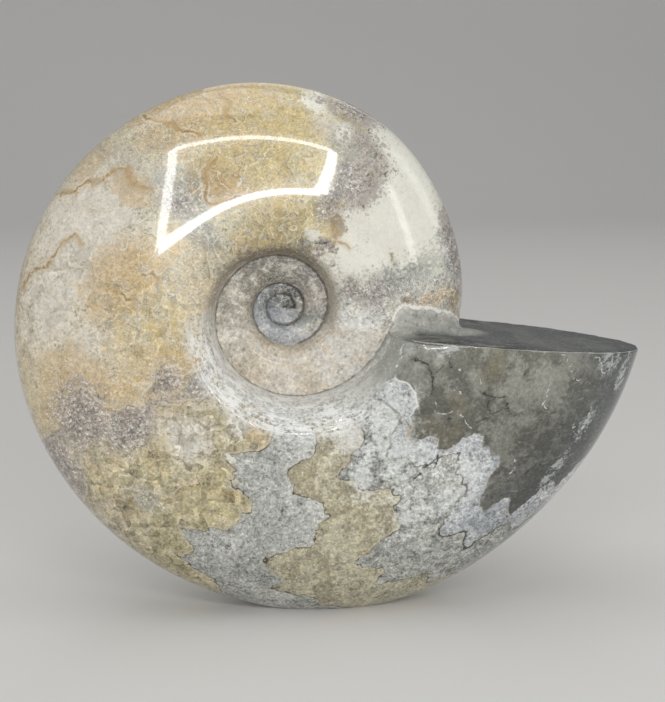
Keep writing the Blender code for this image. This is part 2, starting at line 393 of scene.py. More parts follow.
def navel(walls, side):
    first = float(coil["firstTurn"])
    radius = seamRadius(first)
    loop = np.concatenate([walls[: perTurn + 1, 0], walls[0, -2::-1]])
    loopPlaces = np.concatenate(net["places"])[loop]
    loopMarks = np.concatenate(net["marks"])[loop]
    height = float(halfThickness(np.array(first), wallRadius(np.array(first), 1.0)))
    middle = np.array([0, side * height, coil["axisHeight"]])
    rings = [loop]
    for size in coilMesh["navelRings"]:
        marks = loopMarks.copy()
        marks[:, column["seamGap"]] = radiusMm * radius * (1 - size)
        rings.append(addPoints(middle + (loopPlaces - middle) * np.array([size, size**0.5, size]), marks))
        joins.append((rings[-1][-1:], rings[-1][:1]))
    centre = addPoints(middle[None], marks[:1])
    for inner, outer in zip(rings[1:], rings):
        skin(np.stack([inner, outer], 1), side)
    for a, b in zip(rings[-1], rings[-1][1:]):
        addFace([centre[0], a, b], side)


def mouthSide(walls, flank, side):  # the foot on the whorl inside, and the flat of the mouth
    allPlaces = np.concatenate(net["places"])
    upper = np.concatenate([walls[lastWhorl:footFirst, -1], flank[0]])
    outline = np.concatenate([walls[-1], flank[-1, 1:]])
    number = len(outline)
    shares = np.linspace(0, 1, number)
    upperPlaces = np.stack([np.interp(shares, np.linspace(0, 1, len(upper)), allPlaces[upper][:, axis])
                            for axis in range(3)], -1)
    mouthTurn = np.full(number, -1.0)
    baseRadius = flankRadius(mouthTurn, shares)
    base = coilPlace(mouthTurn, baseRadius, side * halfThickness(mouthTurn, baseRadius))
    edge = allPlaces[outline]
    reach = np.linalg.norm(edge - base, axis=-1, keepdims=True)
    lower = base + (edge - base) * np.minimum(foot["width"] / np.maximum(reach, 1e-9), foot["most"])
    corner = foot["sag"] * base + (1 - foot["sag"]) / 2 * (upperPlaces + lower)
    rows = []
    for along in np.arange(1, coilMesh["footRows"]) / coilMesh["footRows"]:
        rows.append((1 - along) ** 2 * upperPlaces + 2 * along * (1 - along) * corner + along**2 * lower)
    for along in coilMesh["faceRows"]:
        rows.append(lower + (edge - lower) * along)
    places = np.stack(rows)
    radius = np.hypot(places[..., 0], places[..., 2] - coil["axisHeight"])
    toEdge, toUpper = (radiusMm * np.linalg.norm(places - line, axis=-1) for line in (edge, upperPlaces))
    marks = marksOf(np.zeros_like(radius), radius, side, 1, capped(toEdge), capped(toUpper), farMm)
    marks[..., column["turn"]] = np.linspace(*foot["stoneTurns"], number)
    marks[..., column["cream"]] = -1  # no stains and no lines on it
    marks[..., otherStains] = -1
    marks[..., allLines] = farMm
    points = addPoints(places, marks)
    joins.append((points[-1], outline))
    joins.append((points[:, 0], np.full(len(rows), walls[lastWhorl, -1])))
    strip(upper, points[0], side)
    skin(points.T, side)
    return points


print("laying out the shell")
nearWalls, nearFlank = shellSide(-1)
farWalls, farFlank = shellSide(1)
joins.append((farFlank[:, -1], nearFlank[:, -1]))
navel(nearWalls, -1)
navel(farWalls, 1)
nearMouth = mouthSide(nearWalls, nearFlank, -1)
farMouth = mouthSide(farWalls, farFlank, 1)
joins.append((farMouth[:, -1], nearMouth[:, -1]))

places = np.concatenate(net["places"])
marks = np.concatenate(net["marks"])
vertexOf = np.arange(len(places))
for _ in range(3):  # a point can be joined by way of another
    for these, those in joins:
        vertexOf[these] = vertexOf[those]
kept, compact = np.unique(vertexOf, return_inverse=True)
facePoints = []
for face in net["faces"]:
    cleaned = [p for n, p in enumerate(face) if compact[p] != compact[face[n - 1]]]
    if len({int(compact[p]) for p in cleaned}) > 2:
        facePoints.append(cleaned)
faces = [[int(compact[p]) for p in face] for face in facePoints]
places = places[kept]
print("shell has", len(places), "points and", len(faces), "faces")

shell = bpy.data.meshes.new("fossilShell")
shell.from_pydata(places.tolist(), [], faces)
shell.update()
normals = np.zeros(len(places) * 3, np.float32)
shell.vertices.foreach_get("normal", normals)
normals = normals.reshape(-1, 3)

relief = {
    # height and size of the bumps in mm, seed
    "waviness": (0.02, 13.0, 3.7),
    "rock": (0.22, 3.2, 11.3),
    "rockCoarse": (0.35, 9.0, 21.9),
    "chips": (1.3, 1.9, 31.1),
    "crustLumps": (1.1, 1.3, 41.7),
    # depth and reach, mm
    "seamGroove": (0.30, 0.7),
    "mouthEdge": (0.18, 0.3),
    "mouthRound": (0.6, 2.6),
    "crust": (0.07, 1.4),
    # mm from the seam, the mouth's edge or the crust over which bumps grow to their height
    "wavinessGrows": 3,
    "rockGrows": (1.5, 4),
    "rockCoarseGrows": (4, 6),
    "wholeGroove": 0.28,  # mouth radii from the axis, and inside that the groove gets shallower
    "roundShares": (0.24, 0.08),  # share where the mouth's rounding has ended, and over how much it fades
}


def leastMark(name):  # the least of a mark among a vertex's points
    mark = np.full(len(kept), farMm)
    np.minimum.at(mark, compact, marks[:, column[name]])
    return mark


def greatestMark(values):
    mark = np.zeros(len(kept))
    np.maximum.at(mark, compact, values)
    return mark


def bumps(name):
    height, size, seed = relief[name]
    return height * np.array([noise.noise(Vector(spot)) for spot in places * radiusMm / size + seed])


def closeTo(mark, name):  # 1 on the line that the mark is measured from, 0 beyond the reach
    return unit(1 - mark / relief[name][1])


faceMarks = marks[:, column["face"]]
onFace = greatestMark(faceMarks)
shareMark = greatestMark(np.where(faceMarks < 0.5, marks[:, column["share"]], 0))
mouthMark, crustMark, seamMark = (leastMark(name) for name in ("mouthEdge", "crustLine", "seamGap"))
fromAxis = np.hypot(places[:, 0], places[:, 2] - coil["axisHeight"])
push = bumps("waviness") * (onFace < 0.5) * unit(seamMark / relief["wavinessGrows"])
fromEdge, fromCrust = relief["rockGrows"]
push += onFace * bumps("rock") * np.clip(mouthMark / fromEdge, 0.3, 1) * unit(crustMark / fromCrust)
fromEdge, fromCrust = relief["rockCoarseGrows"]
push += onFace * bumps("rockCoarse") * unit(mouthMark / fromEdge) * unit(crustMark / fromCrust)
whole = np.clip(fromAxis / relief["wholeGroove"], 0.25, 1)
push -= relief["seamGroove"][0] * closeTo(seamMark, "seamGroove") * whole
push -= relief["mouthEdge"][0] * closeTo(mouthMark, "mouthEdge") * np.clip(0.8 + bumps("chips"), 0.2, 2)
endShare, fadeShares = relief["roundShares"]
rounded = closeTo(mouthMark, "mouthRound") ** 2 * unit((endShare - shareMark) / fadeShares)
push -= relief["mouthRound"][0] * rounded
push += relief["crust"][0] * closeTo(crustMark, "crust") * np.clip(0.5 + bumps("crustLumps"), 0, 1.2)
places = places + normals * (push / radiusMm)[:, None]
places[:, 2] = np.maximum(places[:, 2], 0)  # ground flat to stand on

low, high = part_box("ammonite")
lowest, highest = places.min(0), places.max(0)
lowest[2] = 0
size = (high.x - low.x) / (highest[0] - lowest[0])  # one mouth radius, in metres
axis = Vector((high.x - highest[0] * size, 0, coil["axisHeight"] * size))
target = np.array([list(low), list(high)])
target[:, 1] *= 0.9995  # just inside the solid
places = target[0] + (places - lowest) / (highest - lowest) * (target[1] - target[0])
print("mouth radius", round(size, 5), "coil axis", [round(v, 4) for v in axis])
shell.vertices.foreach_set("co", places.astype(np.float32).ravel())
shell.update()

order = np.array([p for face in facePoints for p in face])
layers = ("coil", "spread", "edges", "warmStains", "coolStains", "darkLines", "paleLines", "tanLines")
for n, name in enumerate(layers):
    layer = shell.attributes.new(name, "FLOAT_VECTOR", "CORNER")
    layer.data.foreach_set("vector", marks[order, 3 * n:3 * n + 3].astype(np.float32).ravel())
shell.shade_smooth()
ammonite = bpy.data.objects.new("ammoniteStone", shell)
scene.collection.objects.link(ammonite)
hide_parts("ammonite")
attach(ammonite, "root")


def paint(code):
    channels = [int(code[n:n + 2], 16) / 255 for n in (0, 2, 4)]
    return tuple(c / 12.92 if c < 0.04045 else ((c + 0.055) / 1.055) ** 2.4 for c in channels) + (1.0,)


class Wire:  # an output of a node, with the maths that the stone needs
    tree = None

    def __init__(self, socket):
        self.socket = socket

    @classmethod
    def node(cls, kind, settings, inputs, output=0):
        made = cls.tree.nodes.new("ShaderNode" + kind)
        for name, value in settings.items():
            if name == "stops":
                ramp = made.color_ramp
                while len(ramp.elements) < len(value):
                    ramp.elements.new(1)
                for stop, (position, colour) in zip(ramp.elements, value):
                    stop.position = position
                    stop.color = colour
            elif name == "blend":
                made.color_ramp.interpolation = value
            elif name == "points":
                points = made.mapping.curves[0].points
                while len(points) < len(value):
                    points.new(0.5, 0.5)
                for point, place in zip(points, value):
                    point.location = place
                    point.handle_type = "VECTOR"
                made.mapping.update()
            else:
                setattr(made, name, value)
        for name, value in inputs.items():
            if isinstance(value, Wire):
                cls.tree.links.new(value.socket, made.inputs[name])
            else:
                made.inputs[name].default_value = value
        return cls(made.outputs[output])

    def maths(self, operation, *others):
        return Wire.node("Math", {"operation": operation}, dict(enumerate((self,) + others)))

    def __add__(self, other):
        return self.maths("ADD", other)

    def __sub__(self, other):
        return self.maths("SUBTRACT", other)

    def __mul__(self, other):
        return self.maths("MULTIPLY", other)

    def __truediv__(self, other):
        return self.maths("DIVIDE", other)

    def __rsub__(self, other):
        return Wire.node("Math", {"operation": "SUBTRACT"}, {0: other, 1: self})

    def __rtruediv__(self, other):
        return Wire.node("Math", {"operation": "DIVIDE"}, {0: other, 1: self})

    def __abs__(self):
        return self.maths("ABSOLUTE")

    def twin(self, output):  # another output of the same node
        return Wire(self.socket.node.outputs[output])

    __radd__ = __add__
    __rmul__ = __mul__


def least(first, second):
    return first.maths("MINIMUM", second)


def fade(value, start, end):  # 0 at start, 1 at end, whichever of the two is greater
    return Wire.node("MapRange", {"interpolation_type": "SMOOTHSTEP"},
                     {"Value": value, "From Min": start, "From Max": end})


def blended(factor, first, second):
    colours = [paint(c) if isinstance(c, str) else c for c in (first, second)]
    return Wire.node("Mix", {"data_type": "RGBA"}, {0: factor, 6: colours[0], 7: colours[1]}, output=2)


def painted(colour, *coats):  # coats laid over a colour in turn, each with how strong it is
    for strength, coat in coats:
        colour = blended(strength, colour, coat)
    return colour


def vectorMaths(operation, first, second, output=0):
    return Wire.node("VectorMath", {"operation": operation}, {0: first, 1: second}, output)


def scaled(vector, factor):
    return Wire.node("VectorMath", {"operation": "SCALE"}, {0: vector, "Scale": factor})


def added(first, second):
    return vectorMaths("ADD", first, second)


def apart(first, second):
    return vectorMaths("SUBTRACT", first, second)


def dotted(first, second):
    return vectorMaths("DOT_PRODUCT", first, second, 1)


def centred(vector):  # a colour's channels as signed numbers around 0
    return apart(vector, (0.5, 0.5, 0.5))


def parts(vector):
    return [Wire.node("SeparateXYZ", {}, {0: vector}, n) for n in range(3)]


def attribute(name):
    return Wire.node("Attribute", {"attribute_name": name}, {}, output=1)


def cloud(vector, size, detail=2.0, rough=0.5, output=0):
    inputs = {"Vector": vector, "Scale": 1 / size, "Detail": detail, "Roughness": rough}
    return Wire.node("TexNoise", {}, inputs, output)


def cells(vector, size, output=0, feature="F1"):
    return Wire.node("TexVoronoi", {"feature": feature}, {"Vector": vector, "Scale": 1 / size}, output)


def midline(noiseValue, start, end):  # 1 on the lines where a noise passes its middle
    return fade(abs(noiseValue - 0.5), end, start)


# Suture lines from the mouth inwards, where the partitions met the shell: places along each, with the
# share in percent and the turns before the mouth in thousandths. The first one ends the mudstone.
sutures = (
    ((0, 75), (5, 78), (6.5, 74), (8, 62), (13, 59.5), (15, 61), (18, 66), (20, 70), (22, 76), (22.7, 88),
     (27, 95), (28.5, 103), (30, 105.5), (32, 102), (33.5, 90), (37, 88), (41, 95.5), (43, 94), (44.5, 75),
     (46, 68), (50, 68.5), (53, 74.5), (55.5, 72.5), (58, 76.5), (60, 74), (62.5, 74.5), (64, 81),
     (64.8, 90), (66.5, 90.5), (68, 96), (70, 103.5), (72, 106), (75, 103.5), (76.5, 93), (79, 91.5),
     (83, 97), (86, 98.5), (86.8, 80), (88, 71.5), (90, 70.5), (93, 73.5), (94.5, 60), (97, 53), (100, 51)),
    ((0, 110), (6, 105), (10, 97), (15, 94), (20, 96.5), (22, 102), (23, 110), (23.7, 117.5), (27, 121),
     (28.5, 129), (30.5, 133), (32.5, 130), (34.5, 118), (40, 119), (43, 110), (44, 96), (47.5, 89),
     (51, 95), (53, 100), (56, 98.5), (58.5, 103.5), (61, 101), (62.5, 105), (64, 114), (65, 120),
     (67, 123), (68, 128), (71, 134.5), (73, 134), (75.5, 130), (76.5, 124), (78.5, 121), (82.5, 127),
     (84.5, 128.5), (85.7, 126), (86.3, 110), (87, 104), (89, 101.5), (93, 104.5), (94.5, 100), (96, 89),
     (100, 85)),
    ((0, 158), (5, 155), (8.5, 150), (10, 140), (14, 135.5), (17, 138), (20, 141), (22, 146), (23.3, 160),
     (26, 166), (29, 175), (31, 184), (33, 180), (34.5, 170), (36, 165), (38.5, 168), (40, 162), (42, 150),
     (43.5, 144), (45, 145.5), (48, 141.5), (50, 144), (51.2, 149), (59, 151), (61, 154), (63, 166),
     (65, 172), (67, 177), (69, 184), (71, 187.5), (73, 185), (75, 178), (77, 172), (79, 174), (83, 180),
     (84.6, 177), (86, 162), (87.5, 152), (89, 151), (93, 154), (94.3, 146), (95.5, 139.5), (100, 138)),
    ((0, 220), (5, 215), (8, 204), (12, 192), (14, 193), (20, 198), (22.5, 206), (24, 217), (27, 226),
     (30, 231), (33, 229), (34.5, 223.5), (38, 223.5), (40, 210), (42, 201), (44, 200), (46, 201),
     (47.5, 198), (50, 201), (51.5, 206), (56.5, 209), (58, 211.5), (60.5, 210.5), (62.5, 217), (64, 226),
     (66, 231), (68, 238), (70, 243), (72, 244), (75, 242), (77.5, 235), (79, 229), (82, 234), (85, 238),
     (86.5, 228), (88, 214), (90, 211), (93, 214), (94, 203), (95.5, 198), (100, 196)),
    ((0, 270), (7, 258), (10, 250), (13, 247.5), (18, 252), (21, 256), (23.5, 265), (25.5, 276), (29, 287),
     (31, 297), (33.5, 292), (35, 282), (38, 280), (40.5, 285), (42.5, 279), (44, 266), (46, 260),
     (48.5, 257.5), (51, 261), (53, 266), (56.5, 266.5), (60, 269.5), (63, 272), (65, 284), (68, 288),
     (70, 297), (71.5, 301.5), (74, 300), (77, 292), (79, 288), (83, 291), (86, 295.5), (88, 282),
     (90, 270), (92.5, 266.5), (100, 262)),
    ((0, 320), (10, 308), (14, 305), (20, 308.5), (23, 313), (25, 320), (29, 317), (31, 307), (34.5, 308),
     (37, 318), (40, 332), (42, 326), (43.5, 314), (46, 310.5), (49, 307.5), (52, 312), (54, 316.5),
     (60, 319.5), (63.5, 319.5), (65.5, 330), (68, 335.5), (70, 334), (73, 344), (75, 350), (78, 342),
     (83, 347), (86, 336), (90, 330), (100, 325)),
    ((0, 365), (10, 356), (14, 352), (21, 358), (25, 369), (30, 371), (34, 377), (37, 384), (40, 383),
     (44, 370), (46.5, 362), (52, 364.5), (56, 366.5), (60, 369), (62.5, 367.5), (66, 375), (69, 386),
     (75, 389), (80, 384.5), (83, 382), (87, 370), (90, 362), (100, 355)),
    ((0, 400), (10, 394), (16.5, 392), (23, 400), (26, 407), (34, 408), (40, 401), (43, 392), (46, 391),
     (50, 398), (56, 398), (62, 407), (68, 425), (75, 426), (81, 414), (86, 405), (100, 400)),
)
# The shape of all the others, in the same way, from the turn where each one starts
sutureShape = (
    (0, 10), (8, 1), (12, -0), (16, 3), (20, 12), (22.5, 28), (27, 35), (30, 40), (33, 33), (36, 26),
    (39, 31), (42, 33), (45, 10), (50, 6), (55, 12), (60, 14), (64, 22), (68, 40), (71, 45), (75, 36),
    (79, 30), (83, 36), (86, 24), (90, 9), (95, -0), (100, -9),
)
# Chambers from the mouth inwards: turn where each one starts, its two tones, and how far it is
# crystalline, grainy and warm
chambers = (
    (-0.062, "cbced1", "a1a7ab", (0.0, 1.0, 0.0)),
    (-0.100, "9ea09a", "b4b6ae", (0.0, 1.0, 0.0)),
    (-0.137, "a8a083", "bdb79c", (0.2, 0.5, 0.35)),
    (-0.195, "c3c4be", "a3a59f", (0.0, 1.0, 0.0)),
    (-0.250, "b9ae86", "cabf9f", (1.0, 0.2, 0.5)),
    (-0.303, "b8ad8c", "c8bca2", (0.7, 0.3, 0.5)),
    (-0.350, "ada497", "b9ad97", (0.1, 0.7, 0.4)),
    (-0.392, "cebd98", "d4c7a8", (0.3, 0.2, 0.8)),
    (-0.445, "d4c9ae", "d6c39b", (0.4, 0.2, 0.7)),
    (-0.495, "d6c9aa", "d1bc91", (0.1, 0.1, 0.8)),
    (-0.558, "cfc8ac", "d4caab", (0.1, 0.4, 0.7)),
    (-0.625, "ceb888", "c9b994", (0.1, 0.2, 0.9)),
    (-0.670, "cfba82", "cdb98b", (0.2, 0.1, 0.9)),
    (-0.720, "cbbc88", "cfc298", (0.5, 0.1, 0.9)),
    (-0.775, "b1a799", "c6bdad", (0.0, 1.0, 0.3)),
    (-0.830, "dddacb", "d8d5c5", (0.0, 0.1, 0.2)),
    (-0.900, "d0cec4", "bab8af", (0.0, 1.0, 0.2)),
    (-0.970, "dbd4c6", "ccc4b4", (0.0, 0.8, 0.3)),
)
# The wall down to the navel: turn, tone. The dark tones near the top of the coil (turns -0.88 to -0.64) are
# partly the stone's stain, partly painted shade where the wall faces down.
wallTones = (
    (-1.0, "bcb5a6"), (-0.88, "a29b89"), (-0.80, "776f5f"), (-0.74, "6a604e"), (-0.64, "776b57"),
    (-0.50, "9a9080"), (-0.36, "cdc9c1"), (-0.15, "c1bfb6"), (-0.085, "bdbbb2"), (-0.065, "a9aaa3"),
    (0.0, "a1a29b"),
)
# The whorls in the navel: turn, tone. The darker tones around turns -1.85 to -1.7, at the top of the navel,
# are darkened as painted shade.
innerTones = (
    (-3.0, "404547"), (-2.75, "4c5153"), (-2.6, "676d71"), (-2.4, "999fa4"), (-2.12, "b3b6b9"),
    (-2.05, "92948e"), (-1.95, "9a928b"), (-1.85, "86817a"), (-1.7, "736f63"), (-1.55, "968f80"),
    (-1.4, "c7bfb0"), (-1.25, "d9cfc0"), (-1.1, "dcd7cd"), (-1.0, "cfc9be"),
)


def laid(places):  # percent and thousandths as they are written above, turned into share and turn
    return [(share / 100, -turn / 1000) for share, turn in places]


def curve(places, value, low, high):  # a line through places, whose second numbers lie from low to high
    points = [(x, (y - low) / (high - low)) for x, y in places]
    return Wire.node("FloatCurve", {"points": points}, {"Value": value}) * (high - low) + low


def ramp(tones, value, low, high):
    stops = [((place - low) / (high - low), paint(tone)) for place, tone in tones]
    return Wire.node("ValToRGB", {"stops": stops, "blend": "LINEAR"}, {0: (value - low) / (high - low)})


def plane(x, y):
    return Wire.node("CombineXYZ", {}, {0: x, 1: y, 2: 0.0})


def lineDistance(vector, wobbleAlong, wobbleAcross):
    x, y, away = parts(vector)
    x, y = x + wobbleAlong, y + wobbleAcross
    return (x * x + y * y).maths("SQRT") + fade(away, 1.5, 2.2) * 5


class Place:  # what every part of the stone reads
    def __init__(self):
        self.mm = scaled(Wire.node("TexCoord", {}, {}, output=3), 1000)
        self.turn, self.share, self.face = parts(attribute("coil"))
        self.turnPerMm, self.sharePerMm, self.cream = parts(attribute("spread"))
        self.mouthEdge, self.crustLine, self.seamGap = parts(attribute("edges"))
        self.tan, self.yellow, self.grey = parts(attribute("warmStains"))
        self.mauve, self.white, self.brown = parts(attribute("coolStains"))

        self.broad = cloud(self.mm, 11.0, 4.0, 0.6)
        self.middling = cloud(self.mm, 3.2, 4.0, 0.65)
        self.mottle = cloud(added(self.mm, (9.0, 4.0, 2.0)), 1.5, 4.0, 0.7)
        self.fine = cloud(self.mm, 0.8, 3.0, 0.65)
        noises = (self.broad, self.middling, self.mottle, self.fine)
        self.swell, self.wave, self.ripple, self.grit = (each - 0.5 for each in noises)  # signed, around 0
        self.dust = cloud(self.mm, 0.36, 1.0)
        self.pepper = fade(cloud(self.mm, 0.62, 1.0), 0.57, 0.68)
        self.salt = fade(cloud(added(self.mm, (31.0, 7.0, 5.0)), 0.6, 1.0), 0.56, 0.68)
        self.patchy = fade(cloud(self.mm, 4.5, 1.0), 0.40, 0.58)

        self.curl = centred(cloud(self.mm, 6.5, 1.0, output=1))
        self.fineCurl = centred(cloud(self.mm, 1.8, 2.5, 0.6, output=1))
        self.smallPlace = added(self.mm, scaled(self.fineCurl, 1.5))
        smudge = cells(self.smallPlace, 1.5)
        chosen = fade(parts(smudge.twin(1))[1], 0.45, 0.6)
        self.smudges = fade(smudge + self.grit * 0.5, 0.42, 0.10) * chosen
        pore = cells(self.mm, 1.1)
        porePick, speckPick, _ = parts(pore.twin(1))
        self.pores = fade(pore, 0.20, 0.06) * fade(porePick, 0.70, 0.74)
        self.specks = fade(pore, 0.14, 0.05) * fade(speckPick, 0.70, 0.74)
        self.web = midline(cloud(self.mm, 2.6, 4.0, 0.6), 0.004, 0.028)
        self.sugar = parts(cells(added(self.mm, scaled(self.fineCurl, 0.6)), 0.55, output=1))[0] - 0.5
        self.streaks = cloud(plane(self.turn * 26, self.share * 60), 1.0, 5.0, 0.75)


# How far the frills wander, in mm, and the step in share and the spacing in turns that distances are read by
frills = {"reach": 2.4, "scallop": 1.2, "lift": 0.55, "step": 0.006}
sharedFrills = {"along": 5.0, "across": 6.0, "scallop": 5.4, "fineScallop": 1.5, "lift": 3.0}
chamberTurns = 0.052
outOfReach = 99  # added to a distance, mm


def alongCurve(turn):  # 0 to 1 for turns from -1.1 to 0.05
    return (turn + 1.1) / 1.15


def sutureFields(at):
    # Frills: the place along the coil is read a little to one side, in round scallops and in curls
    curlAlong, curlAcross, _ = parts(at.curl)
    fineAlong, fineAcross, _ = parts(at.fineCurl)
    scallop = cells(added(at.mm, scaled(at.curl, 4.0)), 4.6)
    fineScallop = cells(added(at.mm, scaled(at.fineCurl, 1.2)), 1.6)
    tiny = at.grit * 0.8
    frill = 0.35 + fade(at.share, 0.12, 0.42) * 0.65  # smoother towards the navel

    # The sutures that are listed one by one, each with the distance to it in mm, over 0 inwards of it
    reach, step = frills["reach"], frills["step"]
    shiftMm = fineAlong * reach + fineScallop * frills["scallop"] + tiny - frills["lift"]
    nearTurn = at.turn + shiftMm * frill * at.turnPerMm
    nearShare = at.share + fineAcross * reach * frill * at.sharePerMm
    chamber = None
    for suture in sutures:
        line = curve(laid(suture), nearShare, -0.45, 0)
        inwards = (line - nearTurn) / at.turnPerMm
        slope = (curve(laid(suture), nearShare + step, -0.45, 0) - line) / at.turnPerMm * at.sharePerMm / step
        away = inwards / (slope * slope + 1).maths("SQRT")
        passed = inwards.maths("GREATER_THAN", 0)
        apartMm = abs(away)
        inwardMm = away + (1 - passed) * outOfReach
        if suture is sutures[0]:
            at.mudAlong = 0 - away
            at.mud = 1 - passed
            beside, behind = apartMm, inwardMm
        else:
            chamber = chamber + passed if chamber else passed
            beside = least(beside, apartMm)
            behind = least(behind, inwardMm)

    # The others share one shape
    shared = sharedFrills
    along = curlAlong * shared["along"] + fineAlong * 1.0 + scallop * shared["scallop"]
    along = along + fineScallop * shared["fineScallop"] + tiny - shared["lift"]
    across = curlAcross * shared["across"] + fineAcross * reach
    shape = curve(laid(sutureShape), at.share + across * at.sharePerMm, -0.05, 0.01)
    baseTurn = at.turn + along * at.turnPerMm - shape
    starts = [(0.02, -1)] + [(c[0], n) for n, c in enumerate(chambers)] + [(-1.06, len(chambers))]
    starts = sorted((alongCurve(turn), n) for turn, n in starts)
    phase = curve(starts, alongCurve(baseTurn), -1, len(chambers))
    beyond = phase - (len(sutures) - 1)
    chamberMm = chamberTurns / at.turnPerMm
    hidden = (1 - passed * beyond.maths("GREATER_THAN", 0.5)) * outOfReach
    at.chamber = chamber + passed * beyond.maths("FLOOR").maths("MAXIMUM", 0)
    at.beside = least(beside, abs(phase - phase.maths("ROUND")) * chamberMm + hidden)
    at.behind = least(behind, (phase - phase.maths("FLOOR")) * chamberMm + hidden)
    ghost = phase + at.swell * 0.9 + 0.5
    at.fromGhost = abs(ghost - ghost.maths("ROUND")) * chamberMm


def chamberStone(at):
    count = len(chambers) + 1
    position = (at.chamber + 0.5) / count
    tones = [[(n / count, paint(c[which])) for n, c in enumerate(chambers)] for which in (1, 2)]
    kinds = [(n / count, c[3] + (1.0,)) for n, c in enumerate(chambers)]
    first, second, kind = (Wire.node("ValToRGB", {"stops": stops, "blend": "CONSTANT"}, {0: position})
                           for stops in tones + [kinds])
    crystalline, grainy, warm = parts(kind)

    uneven = at.wave * 2.4 + at.grit * 1.4
    at.creamMask = fade(at.cream + uneven, -0.3, 0.7)
    tanMask = fade(at.tan + uneven, -0.1, 0.5)
    yellowMask = fade(at.yellow + uneven, -0.1, 0.6)
    greyMask = fade(at.grey + uneven, -0.1, 0.5)
    mauveMask = fade(at.mauve + uneven + at.grit * 1.5, -0.1, 0.7)
    whiteMask = fade(at.white + uneven * 0.8, -0.05, 0.45)
    at.brownMask = fade(at.brown + uneven, 0.0, 0.6)
    colour = painted(
        first,
        (fade(at.broad + at.wave * 0.6, 0.42, 0.58), second),
        (at.creamMask * 0.85, blended(warm, "d7d9d6", "e3dccf")),
        (tanMask * 0.65, "c6a97a"),
        (yellowMask * 0.55, "c8ba89"),
        (greyMask * 0.75, "9fa099"),
        (whiteMask * 0.92, "e9e7da"),
        (mauveMask * 0.85, "a0968e"),
        (at.brownMask * 0.75, "8d7752"),
    )
    grain = least(grainy + mauveMask + greyMask * 0.6, 1.0) * (1 - whiteMask * 0.9)
    crystal = least(crystalline + yellowMask * 0.3, 1.0) * (1 - whiteMask) * (1 - mauveMask)
    crystal = crystal * (1 - fade(at.share, 0.45, 0.65) * fade(at.turn, -0.60, -0.68) * 0.8)
    at.warmth = least(warm + tanMask * 0.4 + yellowMask * 0.3, 1.0) * (1 - mauveMask * 0.7)
    at.plain = (1 - whiteMask * 0.85) * (1 - at.creamMask * 0.45)
    at.grain = grain

    # Crystals, each cell shaded its own way, with a few pale joints
    facetPlace = added(at.mm, scaled(at.curl, 5.0))
    facetCell = cells(facetPlace, 3.0, output=1)
    tilt = dotted(apart(facetPlace, facetCell.twin(2)), centred(facetCell)) / 3.0
    smallCell = cells(at.smallPlace, 1.3, output=1)
    smallTilt = dotted(apart(at.smallPlace, smallCell.twin(2)), centred(smallCell)) / 1.3
    facetTone = parts(facetCell)[0] - 0.5
    shading = (tilt * 0.8 + facetTone * 0.14) * crystal + smallTilt * (0.35 * crystal + 0.2 * at.warmth)
    joint = fade(cells(facetPlace, 3.0, feature="DISTANCE_TO_EDGE"), 0.07, 0.01)

    # Smudges, pores, a web of pale veins, and grains
    squiggle = midline(cloud(at.mm, 1.2, 3.0, 0.6), 0.006, 0.03) * (1 - at.patchy)
    patch = at.middling * 0.6 + at.mottle * 0.4
    warmest = at.warmth * at.warmth * at.plain
    colour = painted(
        colour,
        (joint * fade(at.broad, 0.48, 0.6) * crystal * 0.4, "e3dcc2"),
        (fade(tilt, -0.02, -0.22) * crystal * 0.4, "9a8b5c"),
        (at.smudges * (grain * 0.50 + 0.08) * at.plain, "7f7b70"),
        (at.web * (grain * 0.40 + at.warmth * 0.30) * at.plain, blended(at.warmth, "e9e9e4", "efe5cc")),
        (at.pores * (grain * 0.65 + 0.15) * at.plain, "4b463c"),
        (squiggle * (grain * 0.45 + mauveMask * 0.3) * at.plain, "55524b"),
        (at.pepper * (0.06 + grain * 0.14 + mauveMask * 0.40) * at.plain, "5f5a50"),
        (at.salt * (0.02 + grain * 0.16 + mauveMask * 0.25) * at.plain, "f0eee8"),
        (fade(patch, 0.50, 0.62) * warmest * 0.45, "b09462"),
        (fade(patch, 0.50, 0.38) * warmest * 0.5, "e7dfcc"),
    )
    lively = (0.86 + grain * 0.18) * at.plain + 0.06
    shading = shading + at.sugar * (0.05 + grain * 0.12 + mauveMask * 0.25) * at.plain
    uneven = at.wave * (0.7 + grain * 0.9) + at.ripple * (0.9 + grain * 0.15) + at.grit * (1.1 + grain * 0.3)
    # painted shade: darker underneath towards the rim, and on the flank just outside the top of the navel
    paintedShadeUnderneath = fade(at.share, 0.55, 0.90) * fade(at.turn, -0.42, -0.30)
    paintedShadeByNavel = fade(at.share, 0.34, 0.06) * fade(at.turn, -0.84, -0.76) * fade(at.turn, -0.50, -0.62)
    shading = shading + at.warmth * 0.05 - paintedShadeUnderneath * 0.20 - paintedShadeByNavel * 0.34
    return scaled(colour, 1 + shading + (uneven + (at.dust - 0.5) * 0.9) * lively)


